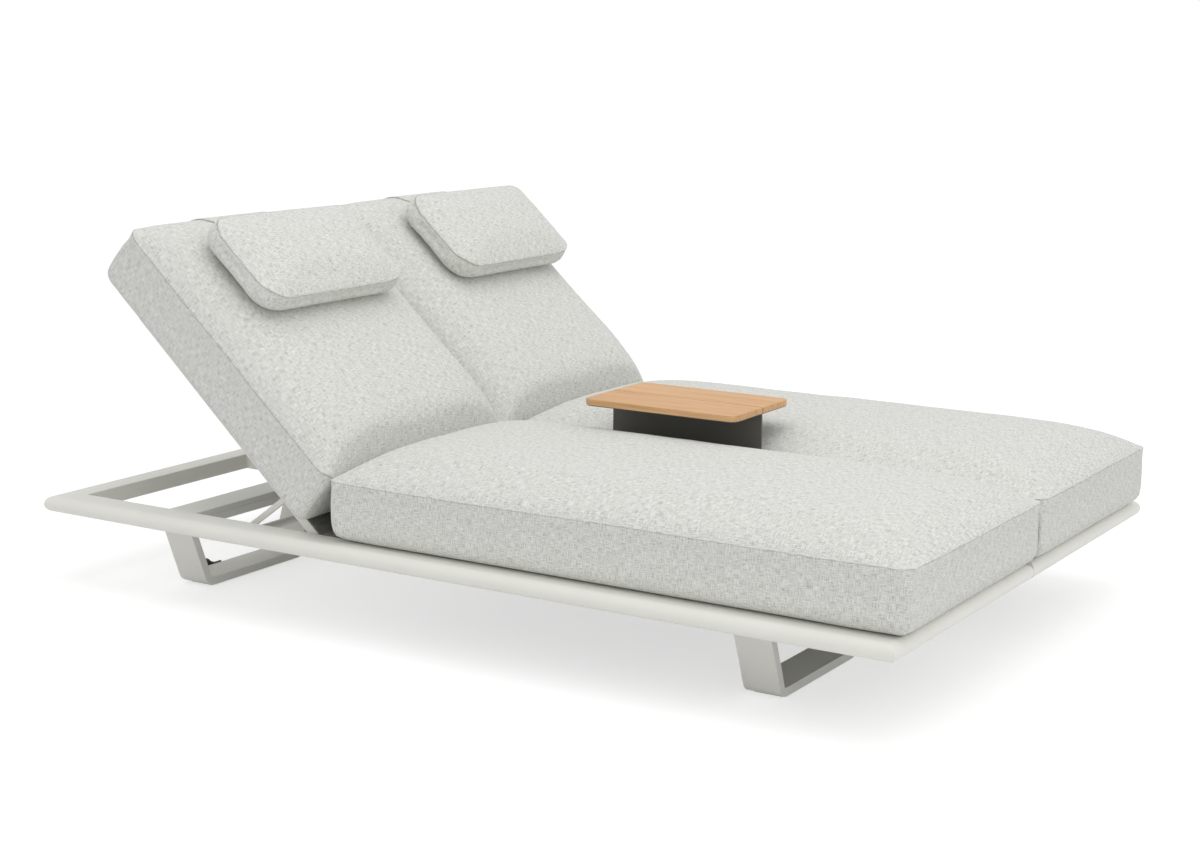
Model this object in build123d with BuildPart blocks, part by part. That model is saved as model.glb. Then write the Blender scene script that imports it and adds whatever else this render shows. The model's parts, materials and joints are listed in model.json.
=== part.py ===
from build123d import *
from math import cos, radians, sin, sqrt, tan
import os

os.makedirs("parts", exist_ok=True)

# A double chaise lounger: two equal loungers side by side, with a small tray between their cushions.
# X runs from the head (-) to the foot (+), Y from the near lounger (-) to the far one (+), Z is up,
# and the origin is on the ground under the middle of the frames.

# Frame of one lounger
frame_length = 2080.0
lounger_width = 670.0
pair_gap = 1.0
rail_width = 68.0
rail_height = 36.0
rail_wall = 2.5
rail_edge_radius = 1.5
rail_underside = 166.0
key_arm = 70.0
key_clearance = 0.3
overrun = 2.0

# Legs: a wide flat bar bent to a U, under a cross bar that is welded between the side rails
leg_width = 80.0
leg_thickness = 18.0
leg_lean = 21.0
leg_bend_radius = 30.0
leg_top_inset = 108.1
rear_leg_from_head = 290.0
front_leg_from_foot = 343.0
crossbar_thickness = 13.0
crossbar_wall = 2.5
glide_thickness = 3.0
glide_length = 34.0
glide_width = 64.0
glide_edge = 1.0
screw_radius = 4.0
screw_play = 0.2
screw_head_radius = 6.5
screw_head_height = 5.0
screw_spread = 44.0
leg_screw_share = 0.7
link_screw_inset = 45.0

# Transport wheels behind the rear leg
wheel_radius = 15.0
wheel_width = 30.0
wheel_lift = 2.0
wheel_spread_share = 0.45
wheel_gap = 3.0
wheel_play = 0.5
wheel_edge_radius = 3.0
wheel_dish_radius = 10.0
wheel_dish_depth = 3.0
axle_radius = 4.0
axle_play = 0.08
axle_head_radius = 7.0
axle_head_height = 2.0
bracket_thickness = 6.0
bracket_base_length = 26.0
bracket_base_thickness = 3.0
bracket_height = 20.0
bracket_end = 8.0

# Seat deck with the ledges and bars that carry it
seat_from_head = 748.0
deck_thickness = 5.0
deck_play = 0.6
deck_stand = 2.4
ledge_width = 22.0
ledge_height = 17.0
ledge_thickness = 2.0
deck_bar_width = 40.0
deck_bar_height = 15.0
deck_bar_wall = 2.0
deck_bar_play = 0.2
deck_bar_shares = (0.02, 0.34, 0.66, 0.98)

# Backrest: hinged bars with a textile deck, at its raised rest position
rest_angle = 42.0
hinge_from_head = 731.0
bar_width = 25.0
bar_height = 20.0
bar_side_gap = 4.0
bar_length = 648.0
bar_corner = 2.0
back_deck_thickness = 3.0
back_deck_stand = 1.0
back_deck_inset = 1.0
back_bar_width = 20.0
back_bar_height = 16.0
back_bar_places = (24.0, 400.0, 618.0)
hinge_pin_radius = 5.0
hinge_play = 0.06
bush_radius = 7.0
bush_flange_radius = 11.0
bush_flange = 3.0
bush_end = 3.0
hinge_pin_head = 8.0
hinge_pin_head_height = 2.0

# Support bail: two arms from the backrest to a cross tube that lies on a rack at each end
bail_from_hinge = 121.0
bail_length = 192.5
bail_slope = 36.3
bail_rod_radius = 6.5
bail_tube_radius = 9.0
bail_eye_radius = 9.0
bail_eye_width = 8.0
bail_gap = 1.0
bail_pin_play = 0.06
bail_pin_radius = 4.0
bail_pin_head = 7.0
bail_pin_head_height = 2.0
bail_end_pin_radius = 5.0
bail_tube_end_gap = 2.0
rack_thickness = 3.0
rack_ledge = 24.0
rack_ledge_thickness = 4.0
rack_end = 14.0
rack_tip_gap = 0.4
rack_notch_depth = 2.0
rack_notch_angles = (0.0, 14.0, 28.0, 42.0)
rack_rise = 12.0
rack_screw_rise = 6.0
rack_screw_radius = 2.5
rack_screw_head = 4.5
rack_screw_head_height = 1.5

# Plates that link the two frames
link_length = 60.0
link_width = 100.0
link_thickness = 4.0
link_screw_radius = 3.0
link_screw_head = 5.5
link_screw_head_height = 3.5
link_from_head = (600.0, 1400.0)
link_screw_spread = 36.0

# Cushions: a boxed side with a seam at its top edge, under a crown
soft_gap = 0.5
soft_seam = 2.5
soft_seam_proud = 1.5
cushion_outer_inset = 26.0
cushion_inner_inset = 2.0
cushion_bottom_round = 12.0
cushion_draw_in = 4.0
cushion_corner = 22.0
seat_cushion_from_head = 804.0
seat_cushion_to_foot = 1.0
seat_box_height = 125.5
seat_crown = 68.0
back_cushion_start = 25.0
back_cushion_end = 757.0
back_box_height = 134.0
back_crown = 80.0
back_lean = 12.0
corner_growth = 0.5
corner_most_share = 0.45
round_shares = ((0.0, 1.0), (0.35, 0.25), (1.0, 0.0))
crown_shares = ((0.03, 0.42), (0.08, 0.61), (0.19, 0.79), (0.34, 0.91), (0.56, 0.97), (0.80, 0.99),
                (0.92, 1.0))
seat_head_crown_share = 0.45

# Head pillow and its strap over the top of the back cushion
pillow_width = 462.0
pillow_height = 235.0
pillow_start = 422.0
pillow_shift = 12.0
pillow_under_crown = 16.0
pillow_box_height = 40.0
pillow_crown = 26.0
pillow_draw_in = 2.0
pillow_corner = 24.0
strap_width = 210.0
strap_thickness = 1.6
strap_tail = 62.0

# Tray: two boards, each screwed on a bent plate, with the plates' webs back to back
tray_from_head = 1088.0
tray_length = 375.0
tray_width = 251.0
tray_top = 455.0
tray_slot = 4.0
board_thickness = 13.0
board_corner_radius = 20.0
board_edge_radius = 1.5
plate_thickness = 2.0
plate_inset = 2.0
plate_bend_radius = 3.0
plate_foot_width = 42.0
plate_foot_play = 0.1
tray_screw_radius = 2.0
tray_screw_head = 4.0
tray_screw_head_height = 1.6
tray_screw_length = 11.0
tray_screw_shares = (0.15, 0.85)
tray_lane_shares = (0.25, 0.75)

# Heights and places that follow
head_x = -frame_length / 2
rail_top = rail_underside + rail_height
rail_mid = rail_underside + rail_height / 2
nose_radius = rail_height / 2
seat_deck_top = rail_top + deck_stand
hinge_x = head_x + hinge_from_head
hinge_z = rail_top + back_deck_stand - back_deck_thickness - bar_height / 2
back_lift = bar_height / 2 + back_deck_thickness
tilt = radians(rest_angle)
up_back = Vector(-cos(tilt), 0, sin(tilt))
out_back = Vector(sin(tilt), 0, cos(tilt))
inner_half = lounger_width / 2 - rail_width
sides = {"near": -(lounger_width + pair_gap) / 2, "far": (lounger_width + pair_gap) / 2}
leg_places = {"rear": head_x + rear_leg_from_head, "front": head_x + frame_length - front_leg_from_foot}


def save(piece, name):
    """Label a finished piece and write its STEP file."""
    piece.part.label = name
    export_step(piece.part, f"parts/{name}.step")


def on_back(along, out, y):
    """A point of the raised backrest: along it from the hinge, and out from the bars' middle plane."""
    return Vector(hinge_x, y, hinge_z) + up_back * along + out_back * out


# Rails: a hollow section with a half-round outer edge, mitred at both ends
def make_rail(outer_middle, inward, length, holes):
    along = inward.cross(Vector(0, 0, 1))
    with BuildPart() as rail:
        with BuildSketch(Plane(origin=outer_middle, x_dir=inward, z_dir=along)):
            with BuildLine():
                Line((nose_radius, nose_radius), (rail_width, nose_radius))
                Line((rail_width, nose_radius), (rail_width, -nose_radius))
                Line((rail_width, -nose_radius), (nose_radius, -nose_radius))
                ThreePointArc((nose_radius, -nose_radius), (0, 0), (nose_radius, nose_radius))
            face = make_face()
            fillet(face.vertices().group_by(Axis.X)[-1], radius=rail_edge_radius)
            offset(amount=-rail_wall, kind=Kind.INTERSECTION, mode=Mode.SUBTRACT)
        extrude(amount=length / 2, both=True)
        for end in (-1, 1):
            corner = outer_middle + along * (end * length / 2)
            split(bisect_by=Plane(origin=corner, z_dir=-(inward + along * end)), keep=Keep.TOP)
        for place, out, radius in holes:
            with Locations(Plane(origin=place, z_dir=out)):
                Hole(radius=radius, depth=rail_wall + overrun)
    return rail


def link_screw_places():
    """Where the link plates' screws enter the inner rails' underside."""
    reach = pair_gap / 2 + link_screw_inset - nose_radius / 2
    return [
        Vector(head_x + place + step * link_screw_spread / 2, side * reach, rail_underside)
        for place in link_from_head
        for step in (-1, 1)
        for side in (-1, 1)
    ]


# Support bail: where its cross tube lies at rest and when the backrest is flat
bail_pivot = on_back(bail_from_hinge, 0, 0)


def bail_top(angle):
    """The bail's upper pivot for a backrest angle in degrees."""
    along = bail_from_hinge * cos(radians(angle))
    rise = bail_from_hinge * sin(radians(angle))
    return Vector(hinge_x - along, 0, hinge_z + rise)


tube_z = bail_pivot.Z - bail_length * sin(radians(bail_slope))


def tube_x(angle):
    """Where the cross tube lies on the rack for a backrest angle in degrees."""
    top = bail_top(angle)
    return top.X - sqrt(bail_length**2 - (top.Z - tube_z) ** 2)


rack_head_end = tube_x(0) - rack_end
rack_foot_end = tube_x(rest_angle) + rack_end
rack_top = rail_underside + rack_rise
rack_screw_xs = (rack_head_end + rack_end / 2, rack_foot_end - rack_end / 2)
rack_screw_z = rail_underside + rack_screw_rise


def inner_face(centre_y, side):
    """The y of a side rail's inner face."""
    return centre_y + side * inner_half


for name, centre_y in sides.items():
    up = Vector(0, 0, 1)
    down = Vector(0, 0, -1)
    for side in (-1, 1):
        inward = Vector(0, -side, 0)
        outer = "outer" if side * centre_y > 0 else "inner"
        holes = []
        if outer == "inner":
            holes += [(p, down, link_screw_radius + screw_play / 2) for p in link_screw_places()
                      if p.Y * centre_y > 0]
        face_y = inner_face(centre_y, side)
        holes.append((Vector(hinge_x, face_y, hinge_z), inward, bush_radius + hinge_play))
        holes += [(Vector(x, face_y, rack_screw_z), inward, rack_screw_radius + screw_play / 2)
                  for x in rack_screw_xs]
        middle = Vector(0, centre_y + side * lounger_width / 2, rail_mid)
        save(make_rail(middle, inward, frame_length, holes), f"{name}_{outer}_rail")
    head_middle = Vector(head_x, centre_y, rail_mid)
    foot_middle = Vector(-head_x, centre_y, rail_mid)
    save(make_rail(head_middle, Vector(1, 0, 0), lounger_width, []), f"{name}_head_rail")
    save(make_rail(foot_middle, Vector(-1, 0, 0), lounger_width, []), f"{name}_foot_rail")

# Corner keys: an L inside each mitred corner
key_height = rail_height - 2 * rail_wall - 2 * key_clearance
key_inner = rail_width - rail_wall - key_clearance
key_outer = nose_radius + key_clearance
with BuildPart() as corner_keys:
    with BuildSketch(Plane.XY.offset(rail_mid - key_height / 2)):
        for centre_y in sides.values():
            for x_sign in (-1, 1):
                for y_sign in (-1, 1):
                    corner_x = x_sign * frame_length / 2
                    corner_y = centre_y + y_sign * lounger_width / 2
                    reach = key_inner + key_arm
                    plan = [(key_outer, key_outer), (reach, key_outer), (reach, key_inner),
                            (key_inner, key_inner), (key_inner, reach), (key_outer, reach)]
                    outline = [(corner_x - x_sign * a, corner_y - y_sign * b) for a, b in plan]
                    with BuildLine():
                        Polyline(outline, close=True)
                    make_face()
    extrude(amount=key_height)
save(corner_keys, "corner_keys")

# Legs: a U with sides that lean in towards the ground, open at the top where it meets the cross bar
slope = tan(radians(leg_lean))
leg_height = rail_underside - glide_thickness
leg_top_half = lounger_width / 2 - leg_top_inset
leg_foot_half = leg_top_half - leg_height * slope
side_shift = leg_thickness / cos(radians(leg_lean))
tie_top_half = leg_top_half - side_shift
tie_bottom_half = tie_top_half - leg_thickness * slope


def leg_screw_places(centre_y):
    """Where the screws of one lounger's two legs enter the cross bars' underside."""
    reach = leg_screw_share * tie_bottom_half
    return [
        Vector(leg_x + step * screw_spread / 2, centre_y + side * reach, rail_underside)
        for leg_x in leg_places.values()
        for step in (-1, 1)
        for side in (-1, 1)
    ]


# Cross bars between the side rails, one above each leg
def make_crossbar(leg_x, centre_y):
    middle_z = rail_underside + crossbar_thickness / 2
    plane = Plane(origin=(leg_x, centre_y, middle_z), x_dir=(1, 0, 0), z_dir=(0, -1, 0))
    with BuildPart() as bar:
        with BuildSketch(plane):
            RectangleRounded(leg_width, crossbar_thickness, rail_edge_radius)
            offset(amount=-crossbar_wall, kind=Kind.INTERSECTION, mode=Mode.SUBTRACT)
        extrude(amount=inner_half, both=True)
        for place in leg_screw_places(centre_y):
            if abs(place.X - leg_x) < leg_width / 2:
                with Locations(Plane(origin=place, z_dir=(0, 0, -1))):
                    Hole(radius=screw_radius + screw_play, depth=crossbar_wall + overrun)
    return bar


def make_leg(leg_x, centre_y):
    inner_top = leg_top_half - side_shift
    inner_foot = leg_foot_half + leg_thickness * slope - side_shift
    with BuildPart() as leg:
        with BuildSketch(Plane(origin=(leg_x, centre_y, glide_thickness), x_dir=(0, 1, 0), z_dir=(1, 0, 0))):
            with BuildLine():
                Polyline((-leg_top_half, leg_height), (-leg_foot_half, 0), (leg_foot_half, 0),
                         (leg_top_half, leg_height), (inner_top, leg_height), (inner_foot, leg_thickness),
                         (-inner_foot, leg_thickness), (-inner_top, leg_height), close=True)
            face = make_face()
            rows = face.vertices().group_by(Axis.Y)
            fillet(rows[0], radius=leg_bend_radius)
            fillet(rows[1], radius=leg_bend_radius - leg_thickness)
        extrude(amount=leg_width / 2, both=True)
    return leg


for name, centre_y in sides.items():
    for end, leg_x in leg_places.items():
        save(make_crossbar(leg_x, centre_y), f"{name}_{end}_crossbar")
        save(make_leg(leg_x, centre_y), f"{name}_{end}_leg")

# Tie bars between the tops of each leg's sides
with BuildPart() as leg_ties:
    for leg_x in leg_places.values():
        for centre_y in sides.values():
            plane = Plane(origin=(leg_x, centre_y, rail_underside), x_dir=(0, 1, 0), z_dir=(1, 0, 0))
            with BuildSketch(plane):
                with BuildLine():
                    Polyline((-tie_top_half, 0), (tie_top_half, 0), (tie_bottom_half, -leg_thickness),
                             (-tie_bottom_half, -leg_thickness), close=True)
                make_face()
            extrude(amount=leg_width / 2, both=True)
            for place in leg_screw_places(centre_y):
                if abs(place.X - leg_x) < leg_width / 2:
                    with Locations(Plane(origin=place, z_dir=(0, 0, 1))):
                        Hole(radius=screw_radius + screw_play, depth=leg_thickness + overrun)
save(leg_ties, "leg_ties")

# Glides: two thin pads under each leg
glide_y = leg_foot_half - leg_bend_radius * tan(radians((90 - leg_lean) / 2)) - glide_length / 2
with BuildPart() as glides:
    with BuildSketch(Plane.XY):
        for leg_x in leg_places.values():
            for centre_y in sides.values():
                with Locations((leg_x, centre_y - glide_y), (leg_x, centre_y + glide_y)):
                    RectangleRounded(glide_width, glide_length, glide_thickness)
    extrude(amount=glide_thickness)
    chamfer(glides.faces().filter_by(Axis.Z).group_by(Axis.Z)[0].edges(), length=glide_edge)
save(glides, "glides")

# Screws that hold the legs' ties to the cross bars
def make_screws(places, shank_radius, shank_length, head_radius, head_height, seat):
    """Round-headed screws that point up, with their heads under a seat below each place."""
    with BuildPart() as screws:
        for place in places:
            foot = Vector(place.X, place.Y, place.Z - seat)
            with BuildSketch(Plane(origin=foot)):
                Circle(head_radius)
            extrude(amount=-head_height)
            with BuildSketch(Plane(origin=foot)):
                Circle(shank_radius)
            extrude(amount=shank_length)
    return screws


screw_places = [p for centre_y in sides.values() for p in leg_screw_places(centre_y)]
screw_reach = leg_thickness + crossbar_wall + overrun
save(make_screws(screw_places, screw_radius, screw_reach, screw_head_radius, screw_head_height,
                 leg_thickness), "leg_screws")

# Link plates under the two inner rails, with their screws
with BuildPart() as link_plates:
    with BuildSketch(Plane.XY.offset(rail_underside - link_thickness)):
        with Locations([(head_x + place, 0) for place in link_from_head]):
            RectangleRounded(link_length, link_width, link_thickness)
        with Locations([(p.X, p.Y) for p in link_screw_places()]):
            Circle(link_screw_radius + screw_play, mode=Mode.SUBTRACT)
    extrude(amount=link_thickness)
save(link_plates, "link_plates")
link_screw_reach = link_thickness + rail_wall + overrun
save(make_screws(link_screw_places(), link_screw_radius, link_screw_reach, link_screw_head,
                 link_screw_head_height, link_thickness), "link_screws")

# Transport wheels: one behind each rear leg's foot, on the outer side, on an axle in a bracket
wheel_x = leg_places["rear"] - leg_width / 2 - wheel_gap - wheel_radius
wheel_z = wheel_lift + wheel_radius
wheel_half = wheel_spread_share * leg_foot_half
cheek_near = wheel_width / 2 + wheel_play
axle_end = cheek_near + bracket_thickness + overrun


def make_wheel(centre_y, side):
    """A wheel with a dish on its outer face for the axle's head."""
    inward = Vector(0, -side, 0)
    middle = Vector(wheel_x, centre_y + side * wheel_half, wheel_z)
    with BuildPart() as wheel:
        with BuildSketch(Plane(origin=middle, z_dir=inward)):
            Circle(wheel_radius)
        extrude(amount=wheel_width / 2, both=True)
        fillet(wheel.edges(), radius=wheel_edge_radius)
        outer_face = middle - inward * (wheel_width / 2)
        with Locations(Plane(origin=outer_face, z_dir=-inward)):
            CounterBoreHole(radius=axle_radius + axle_play, counter_bore_radius=wheel_dish_radius,
                            counter_bore_depth=wheel_dish_depth)
    return wheel


def outer_side(centre_y):
    """Which way a lounger's outer side lies."""
    return 1 if centre_y > 0 else -1


for name, centre_y in sides.items():
    save(make_wheel(centre_y, outer_side(centre_y)), f"{name}_wheel")

with BuildPart() as wheel_axles:
    for centre_y in sides.values():
        side = outer_side(centre_y)
        inward = Vector(0, -side, 0)
        middle = Vector(wheel_x, centre_y + side * wheel_half, wheel_z)
        seat = middle - inward * (wheel_width / 2 - wheel_dish_depth + wheel_play)
        with BuildSketch(Plane(origin=seat, z_dir=inward)):
            Circle(axle_head_radius)
        extrude(amount=-axle_head_height)
        with BuildSketch(Plane(origin=seat, z_dir=inward)):
            Circle(axle_radius)
        extrude(amount=wheel_width / 2 - wheel_dish_depth + wheel_play + axle_end)
save(wheel_axles, "wheel_axles")

bracket_foot = leg_places["rear"] - leg_width / 2
base_x = bracket_foot - bracket_base_thickness
end_x = wheel_x - bracket_end
with BuildPart() as wheel_brackets:
    for centre_y in sides.values():
        side = outer_side(centre_y)
        cheek_y = centre_y + side * (wheel_half - cheek_near)
        cheek_inner_y = cheek_y - side * bracket_thickness
        base_y = cheek_y - side * bracket_base_length
        with BuildSketch(Plane.XY.offset(wheel_z + axle_head_radius)):
            with BuildLine():
                Polyline((bracket_foot, cheek_y), (end_x, cheek_y), (end_x, cheek_inner_y),
                         (base_x, cheek_inner_y), (base_x, base_y), (bracket_foot, base_y), close=True)
            make_face()
        extrude(amount=-bracket_height)
        with Locations(Plane(origin=(wheel_x, cheek_y, wheel_z), z_dir=(0, side, 0))):
            Hole(radius=axle_radius, depth=bracket_thickness + overrun)
save(wheel_brackets, "wheel_brackets")

# Backrest hinges: a flanged bush in each side rail, and a pin in each side bar
bar_half = inner_half - bar_side_gap
with BuildPart() as hinge_bushes:
    for centre_y in sides.values():
        for side in (-1, 1):
            outward = Vector(0, side, 0)
            flange_face = Vector(hinge_x, centre_y + side * (inner_half - bush_flange), hinge_z)
            with BuildSketch(Plane(origin=flange_face, z_dir=outward)):
                Circle(bush_flange_radius)
            extrude(amount=bush_flange)
            with BuildSketch(Plane(origin=flange_face, z_dir=outward)):
                Circle(bush_radius)
            extrude(amount=bush_flange + rail_wall + bush_end)
            with BuildSketch(Plane(origin=flange_face, z_dir=outward)):
                Circle(hinge_pin_radius + hinge_play)
            extrude(amount=bush_flange + rail_wall + bush_end, mode=Mode.SUBTRACT)
save(hinge_bushes, "hinge_bushes")


def make_hinge_pins(centre_y):
    with BuildPart() as pins:
        for side in (-1, 1):
            outward = Vector(0, side, 0)
            bar_inner = Vector(hinge_x, centre_y + side * (bar_half - bar_width), hinge_z)
            with BuildSketch(Plane(origin=bar_inner, z_dir=outward)):
                Circle(hinge_pin_head)
            extrude(amount=-hinge_pin_head_height)
            with BuildSketch(Plane(origin=bar_inner, z_dir=outward)):
                Circle(hinge_pin_radius)
            extrude(amount=bar_width + bar_side_gap + rail_wall + bush_end)
    return pins


# Backrest: two side bars with round hinge ends, three cross bars and a textile deck
def make_back_side_bars(centre_y):
    plane_x = up_back
    with BuildPart() as bars:
        for side in (-1, 1):
            outward = Vector(0, side, 0)
            inner_y = centre_y + side * (bar_half - bar_width)
            with BuildSketch(Plane(origin=on_back(0, 0, inner_y), x_dir=plane_x, z_dir=outward)):
                Circle(bar_height / 2)
                with Locations((bar_length / 2, 0)):
                    Rectangle(bar_length, bar_height)
            extrude(amount=bar_width)
            with Locations(Plane(origin=on_back(0, 0, inner_y + side * bar_width), z_dir=outward)):
                Hole(radius=hinge_pin_radius, depth=bar_width + overrun)
            with Locations(Plane(origin=on_back(bail_from_hinge, 0, inner_y), z_dir=-outward)):
                Hole(radius=bail_pin_radius, depth=bar_width / 2)
    return bars


def make_back_cross_bars(centre_y):
    with BuildPart() as bars:
        for place in back_bar_places:
            middle = on_back(place, bar_height / 2 - back_bar_height / 2, centre_y)
            with BuildSketch(Plane(origin=middle, x_dir=up_back, z_dir=(0, 1, 0))):
                RectangleRounded(back_bar_width, back_bar_height, bar_corner)
                offset(amount=-deck_bar_wall, kind=Kind.INTERSECTION, mode=Mode.SUBTRACT)
            extrude(amount=bar_half - bar_width, both=True)
    return bars


def make_back_deck(centre_y):
    with BuildPart() as deck:
        middle = on_back(bar_length / 2, bar_height / 2, centre_y)
        with BuildSketch(Plane(origin=middle, x_dir=up_back, z_dir=out_back)):
            RectangleRounded(bar_length, 2 * (bar_half - back_deck_inset), bar_corner)
        extrude(amount=back_deck_thickness)
    return deck


for name, centre_y in sides.items():
    save(make_hinge_pins(centre_y), f"{name}_hinge_pins")
    save(make_back_side_bars(centre_y), f"{name}_back_side_bars")
    save(make_back_cross_bars(centre_y), f"{name}_back_cross_bars")
    save(make_back_deck(centre_y), f"{name}_back_deck")

# Support bail: two arms with eyes, welded to a cross tube whose end pins lie on the racks
tube_rest_x = tube_x(rest_angle)
arm_half = bar_half - bar_width - bail_gap - bail_eye_width / 2
tube_half = inner_half - rack_ledge - bail_tube_end_gap
end_pin_half = inner_half - rack_thickness - bail_tube_end_gap
arm_way = (Vector(tube_rest_x, 0, tube_z) - bail_pivot).normalized()


def make_bail(centre_y):
    pivot = bail_pivot + Vector(0, centre_y, 0)
    with BuildPart() as bail:
        with BuildSketch(Plane(origin=(tube_rest_x, centre_y, tube_z), z_dir=(0, 1, 0))):
            Circle(bail_tube_radius)
        extrude(amount=tube_half, both=True)
        with BuildSketch(Plane(origin=(tube_rest_x, centre_y, tube_z), z_dir=(0, 1, 0))):
            Circle(bail_end_pin_radius)
        extrude(amount=end_pin_half, both=True)
        for side in (-1, 1):
            eye = pivot + Vector(0, side * arm_half, 0)
            with BuildSketch(Plane(origin=eye, x_dir=arm_way, z_dir=(0, 1, 0))):
                Circle(bail_eye_radius)
            extrude(amount=bail_eye_width / 2, both=True)
            with BuildSketch(Plane(origin=eye, x_dir=(0, 1, 0), z_dir=arm_way)):
                RectangleRounded(bail_eye_width, 2 * bail_rod_radius, bar_corner)
            extrude(amount=bail_length)
            with Locations(Plane(origin=eye + Vector(0, side * bail_eye_width / 2, 0), z_dir=(0, side, 0))):
                Hole(radius=bail_pin_radius + bail_pin_play, depth=bail_eye_width + overrun)
    return bail


def make_bail_pins(centre_y):
    pivot = bail_pivot + Vector(0, centre_y, 0)
    with BuildPart() as pins:
        for side in (-1, 1):
            head_seat = pivot + Vector(0, side * (arm_half - bail_eye_width / 2 - bail_gap / 2), 0)
            with BuildSketch(Plane(origin=head_seat, z_dir=(0, side, 0))):
                Circle(bail_pin_head)
            extrude(amount=-bail_pin_head_height)
            with BuildSketch(Plane(origin=head_seat, z_dir=(0, side, 0))):
                Circle(bail_pin_radius)
            extrude(amount=bail_gap / 2 + bail_eye_width + bail_gap + bar_width / 2)
    return pins


for name, centre_y in sides.items():
    save(make_bail(centre_y), f"{name}_bail")
    save(make_bail_pins(centre_y), f"{name}_bail_pins")

# Racks on the side rails' inner faces, with a notch for each backrest position
rack_length = rack_foot_end - rack_head_end
rack_middle_x = (rack_foot_end + rack_head_end) / 2
ledge_top = tube_z - bail_end_pin_radius - rack_tip_gap
ledge_bottom = ledge_top - rack_ledge_thickness
with BuildPart() as bail_racks:
    for centre_y in sides.values():
        for side in (-1, 1):
            face_y = inner_face(centre_y, side)
            plate_y = face_y - side * rack_thickness
            ledge_y = face_y - side * rack_ledge
            with BuildSketch(Plane(origin=(rack_middle_x, 0, 0), x_dir=(0, 1, 0), z_dir=(1, 0, 0))):
                with BuildLine():
                    Polyline((face_y, rack_top), (plate_y, rack_top), (plate_y, ledge_top),
                             (ledge_y, ledge_top), (ledge_y, ledge_bottom), (face_y, ledge_bottom),
                             close=True)
                make_face()
            extrude(amount=rack_length / 2, both=True)
            for angle in rack_notch_angles:
                notch = Vector(tube_x(angle), plate_y, tube_z - rack_notch_depth)
                with BuildSketch(Plane(origin=notch, z_dir=(0, -side, 0))):
                    Circle(bail_end_pin_radius + rack_tip_gap)
                extrude(amount=rack_ledge, mode=Mode.SUBTRACT)
            for x in rack_screw_xs:
                with Locations(Plane(origin=(x, plate_y, rack_screw_z), z_dir=(0, -side, 0))):
                    Hole(radius=rack_screw_radius + screw_play, depth=rack_thickness + overrun)
save(bail_racks, "bail_racks")

with BuildPart() as rack_screws:
    for centre_y in sides.values():
        for side in (-1, 1):
            for x in rack_screw_xs:
                seat = Vector(x, inner_face(centre_y, side) - side * rack_thickness, rack_screw_z)
                with BuildSketch(Plane(origin=seat, z_dir=(0, side, 0))):
                    Circle(rack_screw_head)
                extrude(amount=-rack_screw_head_height)
                with BuildSketch(Plane(origin=seat, z_dir=(0, side, 0))):
                    Circle(rack_screw_radius)
                extrude(amount=rack_thickness + rail_wall + overrun)
save(rack_screws, "rack_screws")

# Seat: ledges along the side rails, hollow bars across them, and a textile deck
seat_x = head_x + seat_from_head
foot_inner_x = -head_x - rail_width
deck_underside = seat_deck_top - deck_thickness
carrier_bottom = deck_underside - deck_bar_height - ledge_thickness
ledge_length = foot_inner_x - seat_x
with BuildPart() as seat_ledges:
    for centre_y in sides.values():
        for side in (-1, 1):
            face_y = inner_face(centre_y, side)
            with BuildSketch(Plane(origin=(seat_x, 0, 0), x_dir=(0, 1, 0), z_dir=(1, 0, 0))):
                with BuildLine():
                    Polyline((face_y, carrier_bottom), (face_y, carrier_bottom + ledge_height),
                             (face_y - side * ledge_thickness, carrier_bottom + ledge_height),
                             (face_y - side * ledge_thickness, carrier_bottom + ledge_thickness),
                             (face_y - side * ledge_width, carrier_bottom + ledge_thickness),
                             (face_y - side * ledge_width, carrier_bottom), close=True)
                make_face()
            extrude(amount=ledge_length)
save(seat_ledges, "seat_ledges")

with BuildPart() as seat_bars:
    for centre_y in sides.values():
        for share in deck_bar_shares:
            bar_x = seat_x + deck_bar_width / 2 + share * (ledge_length - deck_bar_width)
            middle = Vector(bar_x, centre_y, deck_underside - deck_bar_height / 2)
            with BuildSketch(Plane(origin=middle, x_dir=(1, 0, 0), z_dir=(0, -1, 0))):
                RectangleRounded(deck_bar_width, deck_bar_height, bar_corner)
                offset(amount=-deck_bar_wall, kind=Kind.INTERSECTION, mode=Mode.SUBTRACT)
            extrude(amount=inner_half - ledge_thickness - deck_bar_play, both=True)
save(seat_bars, "seat_bars")

for name, centre_y in sides.items():
    with BuildPart() as seat_deck:
        with BuildSketch(Plane.XY.offset(deck_underside)):
            with Locations((seat_x + (ledge_length - deck_play) / 2, centre_y)):
                Rectangle(ledge_length - deck_play, 2 * (inner_half - ledge_thickness - deck_play))
        extrude(amount=deck_thickness)
    save(seat_deck, f"{name}_seat_deck")

# Cushions: sections from the underside over the seam to the crown's top
def cushion_levels(half_width, box_height, crown, bottom, draw_in, start_share, lean):
    """Height, start inset, end inset and side inset of each section, with a rounded or crowned bottom."""
    levels = [(height, inset, inset) for height, inset in bottom]
    base = levels[-1][0]
    seam = base + box_height
    levels.append((base + box_height / 2, draw_in, draw_in))
    levels.append((seam - soft_seam, soft_seam_proud, soft_seam_proud))
    levels.append((seam, 0, 0))
    for inset_share, height_share in crown_shares:
        inset = inset_share * half_width
        levels.append((seam + height_share * crown, max(inset * start_share, soft_seam_proud), inset))
    top = [(height, start + lean * min(height / seam, 1), end, end) for height, start, end in levels]
    return top


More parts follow.
